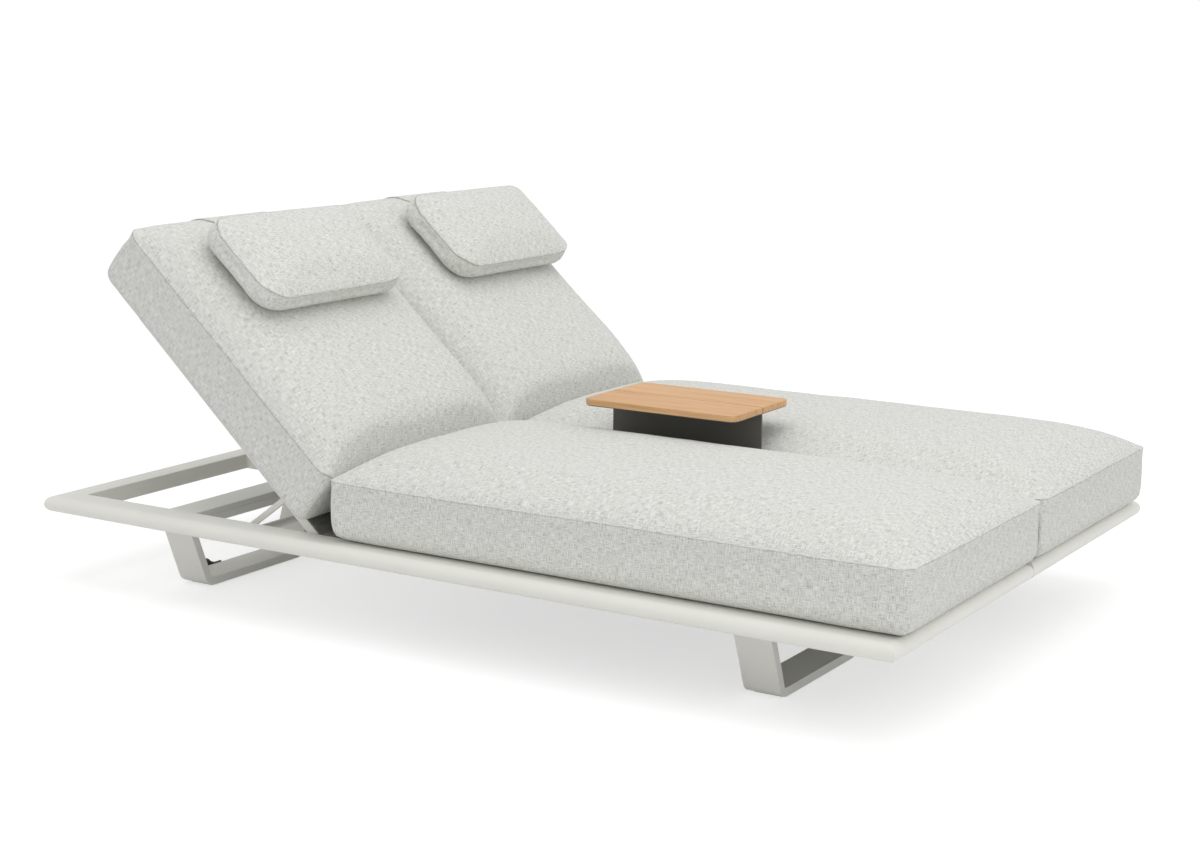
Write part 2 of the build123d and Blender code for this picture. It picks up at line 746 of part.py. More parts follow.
def make_cushion(plane, length, width, levels, corner):
    with BuildPart() as cushion:
        for height, start, end, side in levels:
            section_width = width - 2 * side
            section_length = length - start - end
            least_side = min(section_width, section_length)
            round_corner = min(corner + side * corner_growth, least_side * corner_most_share)
            with BuildSketch(plane.offset(height)):
                with Locations((length / 2 + (start - end) / 2, 0)):
                    RectangleRounded(section_length, section_width, round_corner)
        loft(ruled=True)
    return cushion


cushion_width = lounger_width - cushion_outer_inset - cushion_inner_inset
cushion_shift = (cushion_outer_inset - cushion_inner_inset) / 2
rounded = [(cushion_bottom_round * rise, cushion_bottom_round * inset) for rise, inset in round_shares]
seat_cushion_x = head_x + seat_cushion_from_head
seat_levels = cushion_levels(cushion_width / 2, seat_box_height - cushion_bottom_round, seat_crown, rounded,
                             cushion_draw_in, seat_head_crown_share, 0)
back_levels = cushion_levels(cushion_width / 2, back_box_height - cushion_bottom_round, back_crown, rounded,
                             cushion_draw_in, 1, back_lean)
back_cushion_length = back_cushion_end - back_cushion_start
for name, centre_y in sides.items():
    cushion_y = centre_y - cushion_shift * outer_side(centre_y)
    plane = Plane(origin=(seat_cushion_x, cushion_y, seat_deck_top), x_dir=(1, 0, 0), z_dir=(0, 0, 1))
    seat_length = frame_length - seat_cushion_to_foot - seat_cushion_from_head
    save(make_cushion(plane, seat_length, cushion_width, seat_levels, cushion_corner),
         f"{name}_seat_cushion")
    plane = Plane(origin=on_back(back_cushion_start, back_lift, cushion_y), x_dir=up_back, z_dir=out_back)
    with BuildPart() as back_cushion:
        add(make_cushion(plane, back_cushion_length, cushion_width, back_levels, cushion_corner))
        # Its foot is pressed flat against the seat cushion's head end
        with Locations((seat_cushion_x - soft_gap, cushion_y, seat_deck_top)):
            Box(back_cushion_length, cushion_width + overrun, back_cushion_length + back_crown,
                align=(Align.MIN, Align.CENTER, Align.MIN), mode=Mode.SUBTRACT)
    save(back_cushion, f"{name}_back_cushion")

# Straps: each starts under the pillow, follows the crown and hangs down the cushion's top end
crest = back_lift + back_box_height + back_crown
strap_start = pillow_start + pillow_height / 2
strap_bend = strap_start + pillow_height / 4
crown_run = [(back_cushion_end - end, back_lift + height) for height, start, end, side in back_levels
             if height >= back_box_height and back_cushion_end - end > strap_bend]
tail_end = (back_cushion_end, back_lift + back_box_height - strap_tail)
over_top = [(strap_start, crest), (strap_bend, crest)] + crown_run[::-1] + [tail_end]


def shifted(points, distance):
    """The same run of points, moved outwards by a distance."""
    moved = []
    for index, point in enumerate(points):
        before = points[max(index - 1, 0)]
        after = points[min(index + 1, len(points) - 1)]
        way = Vector(after[0] - before[0], after[1] - before[1]).normalized()
        moved.append((point[0] - way.Y * distance, point[1] + way.X * distance))
    return moved


def make_strap(strap_y):
    inner_run = shifted(over_top, soft_gap)
    outer_run = shifted(over_top, soft_gap + strap_thickness)
    with BuildPart() as strap:
        with BuildSketch(Plane(origin=on_back(0, 0, strap_y), x_dir=up_back, z_dir=(0, 1, 0))):
            with BuildLine():
                Polyline(inner_run + outer_run[::-1], close=True)
            make_face()
        extrude(amount=strap_width / 2, both=True)
    return strap


under_crown = [(pillow_under_crown * (1 - height_share), inset_share * pillow_height / 2)
               for inset_share, height_share in crown_shares[::-1]] + [(pillow_under_crown, 0)]
pillow_levels = cushion_levels(pillow_height / 2, pillow_box_height, pillow_crown, under_crown,
                               pillow_draw_in, 1, 0)
for name, centre_y in sides.items():
    pillow_y = centre_y + pillow_shift * outer_side(centre_y)
    save(make_strap(pillow_y), f"{name}_pillow_strap")
    pillow_out = crest + soft_gap + strap_thickness + soft_gap
    plane = Plane(origin=on_back(pillow_start, pillow_out, pillow_y), x_dir=up_back, z_dir=out_back)
    save(make_cushion(plane, pillow_height, pillow_width, pillow_levels, pillow_corner), f"{name}_pillow")

# Tray
tray_x = head_x + tray_from_head + tray_length / 2
board_width = (tray_width - tray_slot) / 2
board_middle = (tray_slot + board_width) / 2
board_bottom = tray_top - board_thickness
foot_bottom = rail_top + plate_foot_play
screw_rows = [tray_x + (share - 0.5) * tray_length for share in tray_screw_shares]
screw_lanes = [tray_slot / 2 + share * board_width for share in tray_lane_shares]
web_reach = plate_thickness / 10


def make_board(side):
    with BuildPart() as board:
        with BuildSketch(Plane.XY.offset(board_bottom)):
            with Locations((tray_x, side * board_middle)):
                outline = Rectangle(tray_length, board_width)
            fillet(outline.vertices().group_by(Axis.Y)[-1 if side > 0 else 0], radius=board_corner_radius)
        extrude(amount=board_thickness)
        fillet(board.faces().sort_by(Axis.Z)[-1].edges(), radius=board_edge_radius)
        for x in screw_rows:
            for lane in screw_lanes:
                with BuildSketch(Plane(origin=(x, side * lane, board_bottom))):
                    Circle(tray_screw_radius)
                extrude(amount=tray_screw_length - plate_thickness, mode=Mode.SUBTRACT)
    return board


def make_plate(side):
    reach = side * (tray_width / 2 - plate_inset)
    foot = side * plate_foot_width
    web = side * plate_thickness
    with BuildPart() as plate:
        with BuildSketch(Plane(origin=(tray_x, 0, 0), x_dir=(0, 1, 0), z_dir=(1, 0, 0))):
            with BuildLine():
                Polyline((0, board_bottom), (reach, board_bottom), (reach, board_bottom - plate_thickness),
                         (web, board_bottom - plate_thickness), (web, foot_bottom + plate_thickness),
                         (foot, foot_bottom + plate_thickness), (foot, foot_bottom), (0, foot_bottom),
                         close=True)
            bends = make_face().vertices()
            outer_bends = bends.filter_by(lambda v: abs(v.X) < web_reach)
            inner_bends = bends.filter_by(lambda v: abs(v.X - web) < web_reach)
            fillet(outer_bends, radius=plate_bend_radius)
            fillet(inner_bends, radius=plate_bend_radius - plate_thickness)
        extrude(amount=tray_length / 2 - plate_inset, both=True)
        corners = plate.edges().filter_by(Axis.Z).group_by(Axis.Y)[-1 if side > 0 else 0]
        fillet(corners.group_by(Axis.Z)[-1], radius=board_corner_radius - plate_inset)
        for x in screw_rows:
            for lane in screw_lanes:
                with Locations(Plane(origin=(x, side * lane, board_bottom), z_dir=(0, 0, 1))):
                    Hole(radius=tray_screw_radius + screw_play, depth=plate_thickness + overrun)
    return plate


for name, side in (("near", -1), ("far", 1)):
    save(make_board(side), f"tray_{name}_board")
    save(make_plate(side), f"tray_{name}_plate")

tray_screw_places = [Vector(x, side * lane, board_bottom) for x in screw_rows for lane in screw_lanes
                     for side in (-1, 1)]
save(make_screws(tray_screw_places, tray_screw_radius, tray_screw_length, tray_screw_head,
                 tray_screw_head_height, plate_thickness), "tray_screws")
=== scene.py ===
import json
import math

import bpy
from mathutils import Matrix, Vector, noise
from mathutils.bvhtree import BVHTree


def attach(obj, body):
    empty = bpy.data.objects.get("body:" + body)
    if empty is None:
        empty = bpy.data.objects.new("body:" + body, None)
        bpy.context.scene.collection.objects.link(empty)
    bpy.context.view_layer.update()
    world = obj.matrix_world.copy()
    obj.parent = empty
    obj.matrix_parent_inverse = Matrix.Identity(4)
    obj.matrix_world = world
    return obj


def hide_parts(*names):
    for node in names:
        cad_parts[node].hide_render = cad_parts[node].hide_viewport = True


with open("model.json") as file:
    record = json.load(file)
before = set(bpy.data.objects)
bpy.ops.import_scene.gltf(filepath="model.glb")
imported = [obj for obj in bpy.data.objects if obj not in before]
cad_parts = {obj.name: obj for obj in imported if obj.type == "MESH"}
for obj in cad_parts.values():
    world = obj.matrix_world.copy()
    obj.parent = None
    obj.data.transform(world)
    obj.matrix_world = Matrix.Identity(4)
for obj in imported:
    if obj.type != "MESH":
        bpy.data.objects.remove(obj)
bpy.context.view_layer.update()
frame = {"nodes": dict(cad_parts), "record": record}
scene = bpy.context.scene

# Shared sizes of the frame, in metres. The raised backrest's own directions are
# up along it and out of it.
REST = math.radians(42.0)
UP_BACK = Vector((-math.cos(REST), 0, math.sin(REST)))
OUT_BACK = Vector((math.sin(REST), 0, math.cos(REST)))
HINGE = Vector((-0.309, 0, 0.190))
DECK_TOP = 0.2044
LOUNGERS = (("near", -1, 1), ("far", 1, 2))  # name, side along Y, seed of its waves
CENTRE_Y = 0.3355

CUSHION_WIDTH = 0.642
CUSHION_SHIFT = 0.012  # towards the other lounger
HALF_GAP = 0.0004  # between the near and far cushions
SEAT_HEAD = -0.244
BACK_GAP = 0.0006  # between a back cushion and its seat cushion
BACK_START = 0.032
BACK_LIFT = 0.013
BACK_BOX = 0.134
BACK_CROWN = 0.080
PILLOW_START = 0.422
PILLOW_LIFT = BACK_LIFT + BACK_BOX + BACK_CROWN + 0.004
PILLOW_SHIFT = 0.012  # away from the other lounger

WHITE = (1, 1, 1, 1)


# Materials


class Nodes:
    """A small helper that adds and links shader nodes."""

    def __init__(self, name):
        self.mat = bpy.data.materials.new(name)
        self.mat.use_nodes = True
        self.tree = self.mat.node_tree
        self.tree.nodes.clear()
        self.out = self.tree.nodes.new("ShaderNodeOutputMaterial")
        self.bsdf = self.tree.nodes.new("ShaderNodeBsdfPrincipled")
        self.tree.links.new(self.bsdf.outputs[0], self.out.inputs[0])

    def add(self, kind, **values):
        node = self.tree.nodes.new(kind)
        for key, value in values.items():
            setattr(node, key, value)
        return node

    def link(self, source, target):
        self.tree.links.new(source, target)

    def math(self, operation, *values):
        node = self.add("ShaderNodeMath", operation=operation)
        for index, value in enumerate(values):
            if isinstance(value, (int, float)):
                node.inputs[index].default_value = value
            else:
                self.link(value, node.inputs[index])
        return node.outputs[0]

    def blend(self, *terms):
        """Sum of values, each times its weight."""
        total = None
        for value, weight in terms:
            term = self.math("MULTIPLY", value, weight)
            total = term if total is None else self.math("ADD", total, term)
        return total

    def vector(self, source, scale):
        node = self.add("ShaderNodeVectorMath", operation="MULTIPLY")
        self.link(source, node.inputs[0])
        node.inputs[1].default_value = scale
        return node.outputs[0]

    def split(self, source):
        node = self.add("ShaderNodeSeparateXYZ")
        self.link(source, node.inputs[0])
        return node.outputs

    def noise(self, source, scale, detail=2.0, roughness=0.5, distortion=0.0):
        """Noise with its features per metre, one number or one for each axis."""
        if isinstance(scale, tuple):
            source, scale = self.vector(source, scale), 1.0
        node = self.add("ShaderNodeTexNoise")
        self.link(source, node.inputs["Vector"])
        node.inputs["Scale"].default_value = scale
        node.inputs["Detail"].default_value = detail
        node.inputs["Roughness"].default_value = roughness
        node.inputs["Distortion"].default_value = distortion
        return node.outputs["Fac"]

    def weave(self, across, along, period):
        """Crossing threads of a plain weave, from -1 to 1."""
        turn = 2 * math.pi / period
        waves = [self.math("SINE", self.math("MULTIPLY", way, turn)) for way in (across, along)]
        return self.math("MULTIPLY", *waves)

    def colour(self, source, stops):
        """Base colour from a ramp with (place, colour) stops."""
        node = self.add("ShaderNodeValToRGB")
        self.link(source, node.inputs[0])
        elements = node.color_ramp.elements
        while len(elements) < len(stops):
            elements.new(0.5)
        for element, (place, colour) in zip(elements, stops):
            element.position = place
            element.color = (*colour, 1)
        self.link(node.outputs["Color"], self.bsdf.inputs["Base Color"])

    def roughness(self, source, spread, lowest):
        self.link(self.math("MULTIPLY_ADD", source, spread, lowest), self.bsdf.inputs["Roughness"])

    def bump(self, height, strength, distance):
        node = self.add("ShaderNodeBump")
        node.inputs["Strength"].default_value = strength
        node.inputs["Distance"].default_value = distance
        self.link(height, node.inputs["Height"])
        self.link(node.outputs[0], self.bsdf.inputs["Normal"])


def tinted(colour, share):
    return tuple(min(channel * share, 1) for channel in colour)


def box_coordinates(n):
    return n.add("ShaderNodeTexCoord").outputs["Object"]


def melange(name):
    """Off-white slub weave with grey flecks along both thread directions."""
    n = Nodes(name)
    # In metres of cloth, written by box_uv and by make_strap
    cloth = n.add("ShaderNodeUVMap", uv_map="weave").outputs[0]
    warp = n.noise(cloth, (760, 62, 1), 1.0, 0.6)
    weft = n.noise(cloth, (62, 760, 1), 1.0, 0.6)
    fleck = n.noise(cloth, (400, 400, 1), 2.0, 0.6)
    cloud = n.noise(cloth, (22, 22, 1), 2.0, 0.5)
    ways = n.split(cloth)
    threads = n.math("MULTIPLY_ADD", n.weave(ways[0], ways[1], 0.0017), 0.5, 0.5)
    yarns = n.blend((warp, 0.46), (weft, 0.46))
    n.colour(n.blend((yarns, 1.0), (fleck, 0.08), (cloud, 0.03)),
             [(0.34, (0.36, 0.354, 0.333)), (0.45, (0.552, 0.551, 0.520)),
              (0.52, (0.660, 0.665, 0.629)), (0.66, (0.800, 0.810, 0.773))])
    n.bsdf.inputs["Roughness"].default_value = 0.95
    n.bsdf.inputs["Sheen Weight"].default_value = 0.08
    n.bsdf.inputs["Specular IOR Level"].default_value = 0.2
    n.bump(n.blend((yarns, 0.8), (threads, 0.5)), 0.25, 0.0006)
    return n.mat


def coat(name, colour, roughness):
    """Fine-textured powder coat."""
    n = Nodes(name)
    place = box_coordinates(n)
    fine = n.noise(place, 900.0, 3.0, 0.6)
    wide = n.noise(place, 6.0, 2.0, 0.5)
    n.colour(n.blend((fine, 0.6), (wide, 0.4)),
             [(0.35, tinted(colour, 0.965)), (0.65, tinted(colour, 1.025))])
    n.roughness(fine, 0.12, roughness - 0.06)
    n.bsdf.inputs["Specular IOR Level"].default_value = 0.4
    n.bump(fine, 0.12, 0.0004)
    return n.mat


def metal(name, colour, roughness):
    """Brushed or mill-finish metal, with streaks along X."""
    n = Nodes(name)
    streak = n.noise(box_coordinates(n), (40, 900, 900), 3.0, 0.6)
    n.colour(streak, [(0.3, tinted(colour, 0.9)), (0.7, colour)])
    n.bsdf.inputs["Metallic"].default_value = 1.0
    n.roughness(streak, 0.2, roughness)
    n.bump(streak, 0.1, 0.0003)
    return n.mat


def moulded(name, colour):
    """Moulded black plastic with a fine spark-eroded grain."""
    n = Nodes(name)
    place = box_coordinates(n)
    grain = n.noise(place, 1400.0, 3.0, 0.65)
    scuff = n.noise(place, 70.0, 4.0, 0.6)
    n.colour(scuff, [(0.40, colour), (0.75, tinted(colour, 1.7))])
    n.roughness(scuff, 0.25, 0.45)
    n.bump(grain, 0.2, 0.0003)
    return n.mat


def mesh_textile(name):
    """Dark coated-yarn deck textile, a tight open plain weave."""
    n = Nodes(name)
    place = box_coordinates(n)
    x, y, z = n.split(place)
    crossing = n.weave(y, n.math("ADD", x, z), 0.0022)
    fibre = n.noise(place, 300.0, 2.0, 0.5)
    n.colour(n.blend((crossing, 0.25), (fibre, 1.0)),
             [(0.25, (0.115, 0.115, 0.105)), (0.50, (0.20, 0.20, 0.185)),
              (0.80, (0.30, 0.30, 0.28))])
    n.bsdf.inputs["Roughness"].default_value = 0.8
    n.bump(crossing, 0.5, 0.0006)
    return n.mat


def teak(name):
    """Oiled teak: straight grain along X, fine pores and a few darker bands."""
    n = Nodes(name)
    place = box_coordinates(n)
    grain = n.noise(place, (5, 130, 90), 5.0, 0.6, 0.4)
    bands = n.noise(place, (1.3, 26, 20), 2.0, 0.5, 0.6)
    pores = n.noise(place, (35, 1300, 1300), 2.0, 0.6)
    n.colour(n.blend((grain, 0.5), (bands, 0.35), (pores, 0.15)),
             [(0.30, (0.40, 0.200, 0.075)), (0.45, (0.57, 0.315, 0.135)),
              (0.56, (0.66, 0.395, 0.195)), (0.72, (0.72, 0.460, 0.250))])
    n.roughness(grain, 0.2, 0.42)
    n.bump(n.blend((grain, 1.0), (pores, 0.6)), 0.25, 0.0005)
    return n.mat


MATERIALS = {
    "frame_coat": coat("frame_coat", (0.78, 0.775, 0.725), 0.46),
    "dark_coat": coat("dark_coat", (0.112, 0.109, 0.095), 0.50),
    "bare_aluminium": metal("bare_aluminium", (0.72, 0.72, 0.73), 0.35),
    "steel": metal("steel", (0.60, 0.60, 0.61), 0.28),
    "black_plastic": moulded("black_plastic", (0.022, 0.022, 0.023)),
    "dark_textile": mesh_textile("dark_textile"),
    "cushion_weave": melange("cushion_weave"),
    "teak": teak("teak"),
}
SLOTS = {entry["node"]: entry["material_slot"] for entry in frame["record"]["subparts"]}
for node_name, node in frame["nodes"].items():
    for slot in node.material_slots:
        slot.material = MATERIALS[SLOTS[node_name]]


# Cushion meshes: a gridded top and underside joined by rows of boxing

CORNER_LINES = (0.0, 0.10, 0.25, 0.45, 0.70)  # grid lines in a corner zone, as shares of it
SEAM_ROWS = (0.0018, 0.0045)  # depth of the two boxing rows that shape the seam's lip
LOWER_EDGE_STEPS = 4
EAR_REACH = 0.09
SEAM_HOLD = 0.9  # how far the seam is held in the cloth simulation
FADE_SHARE = 0.3  # of the box's height, over which the swelling fades out at the seam
EDGE_SHARE = 0.98  # from here on a point counts as on the side, or as on the top
SLOW_WAVES, SHORT_WAVES = 4.5, 13.0  # per metre
SHORT_WAVE_SHARE = 0.45
SIDE_WAVE_SHARE = 0.2


def clamped(value):
    return min(max(value, 0), 1)


def lines(length, radius, step):
    """Grid lines as (zone, share): closer together in the corner zones at both ends."""
    count = max(2, round((length - 2 * radius) / step))
    marks = [(0, share) for share in CORNER_LINES]
    marks += [(1, k / count) for k in range(count + 1)]
    marks += [(2, share) for share in reversed(CORNER_LINES)]
    return marks


def place_line(mark, length, radius, inset):
    """Where a grid line lies when the outline is inset, measured from the uninset edge."""
    zone, share = mark
    if zone == 0:
        return inset + share * radius
    if zone == 1:
        return inset + radius + share * (length - 2 * inset - 2 * radius)
    return length - inset - share * radius


def rounded(dx, dy, radius):
    """Maps a square corner zone onto a quarter disc."""
    return (dx * math.sqrt(1 - dy * dy / (2 * radius * radius)),
            dy * math.sqrt(1 - dx * dx / (2 * radius * radius)))


def bowed(share):
    """Full in the middle of a side, nothing at its ends."""
    return max(1 - abs(share) ** 4, 0)


class Cushion:
    """A boxed cushion in its own frame: x along its length, y across, z up from the underside.

    The seam runs at the height box, and the top rises above it by crown. The powers say how
    flat the crown is towards x = 0, the far end and the sides, and rise how steeply it leaves
    the seam. Corner and bottom are the radii of the upright corners and of the lower edge,
    draw is how far the sides are drawn in, lean how far the top is moved along x at x = 0, and
    ears how much higher the corners stand.
    """

    def __init__(self, length, width, box, crown, powers, rise, corner, bottom, draw, step,
                 lean=0.0, ears=0.0):
        self.length, self.width, self.box, self.crown = length, width, box, crown
        self.powers, self.rise = powers, rise
        self.corner, self.bottom, self.draw = corner, bottom, draw
        self.lean, self.ears = lean, ears
        self.step = step
        self.xs = lines(length, corner, step)
        self.ys = lines(width, corner, step)
        last_x, last_y = len(self.xs) - 1, len(self.ys) - 1
        self.ring = [(i, 0) for i in range(last_x)] + [(last_x, j) for j in range(last_y)]
        self.ring += [(i, last_y) for i in range(last_x, 0, -1)]
        self.ring += [(0, j) for j in range(last_y, 0, -1)]
        self.verts, self.faces = [], []
        self.add_top()
        self.add_boxing()
        self.add_underside()
        self.verts = [Vector((x + self.lean * clamped(z / box) * (1 - x / length), y, z))
                      for x, y, z in self.verts]

    def add(self, x, y, z):
        self.verts.append((x, y, z))
        return len(self.verts) - 1

    def plan(self, i, j, inset):
        """Plan position of grid point i, j with the outline inset."""
        radius = max(self.corner - inset, 0.25 * self.corner)
        x = place_line(self.xs[i], self.length, radius, inset)
        y = place_line(self.ys[j], self.width, radius, inset) - self.width / 2
        hx, hy = self.length / 2 - inset - radius, self.width / 2 - inset - radius
        cx = x - self.length / 2
        dx, dy = abs(cx) - hx, abs(y) - hy
        if dx > 0 and dy > 0:
            dx, dy = rounded(dx, dy, radius)
            cx = math.copysign(hx + dx, cx)
            y = math.copysign(hy + dy, y)
        return cx + self.length / 2, y

    def dome(self, x, y):
        """Share of the crown at a plan position."""
        along, across = 2 * x / self.length - 1, 2 * y / self.width
        near_power, far_power, side_power = self.powers
        return (self.swell(along, near_power if along < 0 else far_power)
                * self.swell(across, side_power))

    def swell(self, share, power):
        """A full dome's profile, with a steep but finite slope at the seam."""
        keep = 0.985
        seam = (1 - keep ** power) ** self.rise
        height = max(1 - (keep * abs(share)) ** power, 0) ** self.rise
        return max((height - seam) / (1 - seam), 0)

    def ear(self, x, y):
        """How much higher the seam stands near a corner."""
        dx = min(x, self.length - x) / EAR_REACH
        dy = (self.width / 2 - abs(y)) / EAR_REACH
        return self.ears * math.exp(-dx * dx - dy * dy)

    def pull(self, i, j):
        """How far the sides are drawn in between the corners, at the seam."""
        x, y = self.plan(i, j, 0)
        a, b = 2 * x / self.length - 1, 2 * y / self.width
        along = bowed(a) if abs(b) > EDGE_SHARE else 1.0
        across = bowed(b) if abs(a) > EDGE_SHARE else 1.0
        return self.draw * 0.5 * min(along, across)

    def add_top(self):
        nx, ny = len(self.xs), len(self.ys)
        top = {}
        for i in range(nx):
            for j in range(ny):
                edge = i in (0, nx - 1) or j in (0, ny - 1)
                x, y = self.plan(i, j, self.pull(i, j) if edge else self.draw * 0.25)
                crown = self.crown * self.dome(*self.plan(i, j, 0))
                top[i, j] = self.add(x, y, self.box + crown + self.ear(x, y))
        for i in range(nx - 1):
            for j in range(ny - 1):
                self.faces.append((top[i, j], top[i + 1, j], top[i + 1, j + 1], top[i, j + 1]))
        self.top = top
        self.seam_ring = [top[key] for key in self.ring]

    def levels(self):
        """Height and inset of each boxing row, from the seam down and round the lower edge."""
        rows = max(6, round((self.box - self.bottom) / (self.step * 0.9)))
        start = self.box - SEAM_ROWS[-1]
        found = [(self.box - depth, 0.0) for depth in SEAM_ROWS]
        found += [(start - (start - self.bottom) * k / rows, 0.0) for k in range(1, rows)]
        for k in range(LOWER_EDGE_STEPS + 1):
            angle = math.pi / 2 * k / LOWER_EDGE_STEPS
            found.append((self.bottom * (1 - math.sin(angle)),
                          self.bottom * (1 - math.cos(angle))))
        return found

    def add_boxing(self):
        count = len(self.ring)
        previous = self.seam_ring
        self.rows = []
        for z, inset in self.levels():
            share = z / self.box
            waist = self.draw * math.sin(math.pi * clamped(share)) ** 0.8
            row = []
            for i, j in self.ring:
                x, y = self.plan(i, j, inset + waist + self.pull(i, j) * share)
                row.append(self.add(x, y, z + self.ear(x, y) * share ** 2))
            for k in range(count):
                after = (k + 1) % count
                self.faces.append((previous[after], row[after], row[k], previous[k]))
            self.rows.append(row)
            previous = row

    def add_underside(self):
        nx, ny = len(self.xs), len(self.ys)
        low = dict(zip(self.ring, self.rows[-1]))
        for i in range(1, nx - 1):
            for j in range(1, ny - 1):
                low[i, j] = self.add(*self.plan(i, j, self.bottom), 0.0)
        for i in range(nx - 1):
            for j in range(ny - 1):
                self.faces.append((low[i, j], low[i, j + 1], low[i + 1, j + 1], low[i + 1, j]))
        self.low = set(low.values())

    def puff(self, pressure, frames, cap, slack):
        """Cloth with pressure, pinned at its underside and nearly so at its seam.

        Moves are capped, and fade out towards the seam.
        """
        mesh = bpy.data.meshes.new("puff")
        mesh.from_pydata([tuple(v) for v in self.verts], [], self.faces)
        obj = bpy.data.objects.new("puff", mesh)
        scene.collection.objects.link(obj)
        pin = obj.vertex_groups.new(name="pin")
        pin.add(sorted(self.low), 1.0, "REPLACE")
        pin.add(self.seam_ring, SEAM_HOLD, "REPLACE")
        cloth = obj.modifiers.new("cloth", "CLOTH")
        settings = cloth.settings
        settings.quality = 4
        settings.mass = 0.2
        settings.tension_stiffness = 12
        settings.compression_stiffness = 8
        settings.bending_stiffness = 0.4
        settings.shrink_min = -slack
        settings.vertex_group_mass = "pin"
        settings.pin_stiffness = 1.0
        settings.use_pressure = True
        settings.uniform_pressure_force = pressure
        settings.effector_weights.gravity = 0
        cloth.point_cache.frame_start = 1
        cloth.point_cache.frame_end = frames
        for number in range(1, frames + 1):
            scene.frame_set(number)
        shaped = obj.evaluated_get(bpy.context.evaluated_depsgraph_get()).to_mesh()
        reach = FADE_SHARE * self.box
        for index, vertex in enumerate(shaped.vertices):
            here = self.verts[index]
            move = vertex.co - here
            if move.length > cap:
                move = move * (cap / move.length)
            edge = min(here.x, self.length - here.x, self.width / 2 - abs(here.y))
            from_seam = edge if here.z > self.box - 0.001 else self.box - here.z
            self.verts[index] = here + move * clamped(from_seam / reach)
        scene.frame_set(1)
        bpy.data.objects.remove(obj)
        bpy.data.meshes.remove(mesh)

    def sew(self, lip):
        """A soft lip below the seam, away from the cushion's inside."""
        nx, ny = len(self.xs), len(self.ys)
        for k, (i, j) in enumerate(self.ring):
            here = self.verts[self.seam_ring[k]]
            inner = self.verts[self.top[min(max(i, 1), nx - 2), min(max(j, 1), ny - 2)]]
            below = self.verts[self.rows[2][k]]
            away = ((here - inner).normalized() + (here - below).normalized()).normalized()
            self.verts[self.rows[0][k]] += away * lip * 0.3
            self.verts[self.rows[1][k]] += away * lip * 0.6


def box_uv(mesh, points):
    """UVs in metres from the cushion's own frame, by each face's main direction."""
    layer = mesh.uv_layers.new(name="weave")
    for polygon in mesh.polygons:
        corners = [points[mesh.loops[k].vertex_index] for k in polygon.loop_indices]
        normal = (corners[2] - corners[0]).cross(corners[3] - corners[1])
        size = [abs(c) for c in normal]
        for k, point in zip(polygon.loop_indices, corners):
            if size[2] >= max(size[0], size[1]) * 0.8:
                layer.data[k].uv = (point.x, point.y)
            elif size[1] >= size[0]:
                layer.data[k].uv = (point.x, point.z + 3.0)
            else:
                layer.data[k].uv = (point.y + 5.0, point.z + 3.0)


def pressed(point, node):
    """Cushions press each other flat where they meet: near on far, and back on seat."""
    if node.startswith("near"):
        point.y = min(point.y, -HALF_GAP)
    else:
        point.y = max(point.y, HALF_GAP)
    if node.endswith("seat_cushion"):
        point.x = max(point.x, SEAT_HEAD)
    if node.endswith("back_cushion"):
        point.x = min(point.x, SEAT_HEAD - BACK_GAP)
    return point


def waved(cushion, seed, wave_height):
    """The cushion's points with slow waves: full on the top, slight on the sides."""
    shift = Vector((seed * 7.3, seed * 3.1, seed * 5.7))
    shaped = []
    for index, point in enumerate(cushion.verts):
        if index in cushion.low:
            shaped.append(point)
            continue
        wave = noise.noise(point * SLOW_WAVES + shift) * wave_height
        wave += noise.noise(point * SHORT_WAVES + shift) * wave_height * SHORT_WAVE_SHARE
        if point.z <= cushion.box * EDGE_SHARE:
            wave = wave * SIDE_WAVE_SHARE * clamped(point.z / cushion.box)
        shaped.append(point + Vector((0, 0, wave)))
    return shaped


def finish_cushion(node, body, cushion, matrix, mirror, seed, wave_height):
    """Waves, mirrors where asked, and places the cushion as its own object."""
    side = -1 if mirror else 1
    local = [Vector((p.x, p.y * side, p.z)) for p in waved(cushion, seed, wave_height)]
    faces = [f[::-1] for f in cushion.faces] if mirror else cushion.faces
    name = f"{node}_soft"
    mesh = bpy.data.meshes.new(name)
    mesh.from_pydata([tuple(pressed(matrix @ p, node)) for p in local], [], faces)
    mesh.update()
    box_uv(mesh, [p + Vector((seed * 1.7, seed * 0.9, 0)) for p in local])
    for polygon in mesh.polygons:
        polygon.use_smooth = True
    mesh.materials.append(MATERIALS["cushion_weave"])
    obj = bpy.data.objects.new(name, mesh)
    scene.collection.objects.link(obj)
    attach(obj, body)
    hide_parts(node)
    return local, faces


def cushion_middle(sign):
    return sign * CENTRE_Y - sign * CUSHION_SHIFT


def back_matrix(along, out, y):
    """From a cushion's own frame to the raised backrest."""
    across = OUT_BACK.cross(UP_BACK)
    matrix = Matrix((UP_BACK, across, OUT_BACK)).transposed().to_4x4()
    matrix.translation = HINGE + UP_BACK * along + OUT_BACK * out + Vector((0, y, 0))
    return matrix


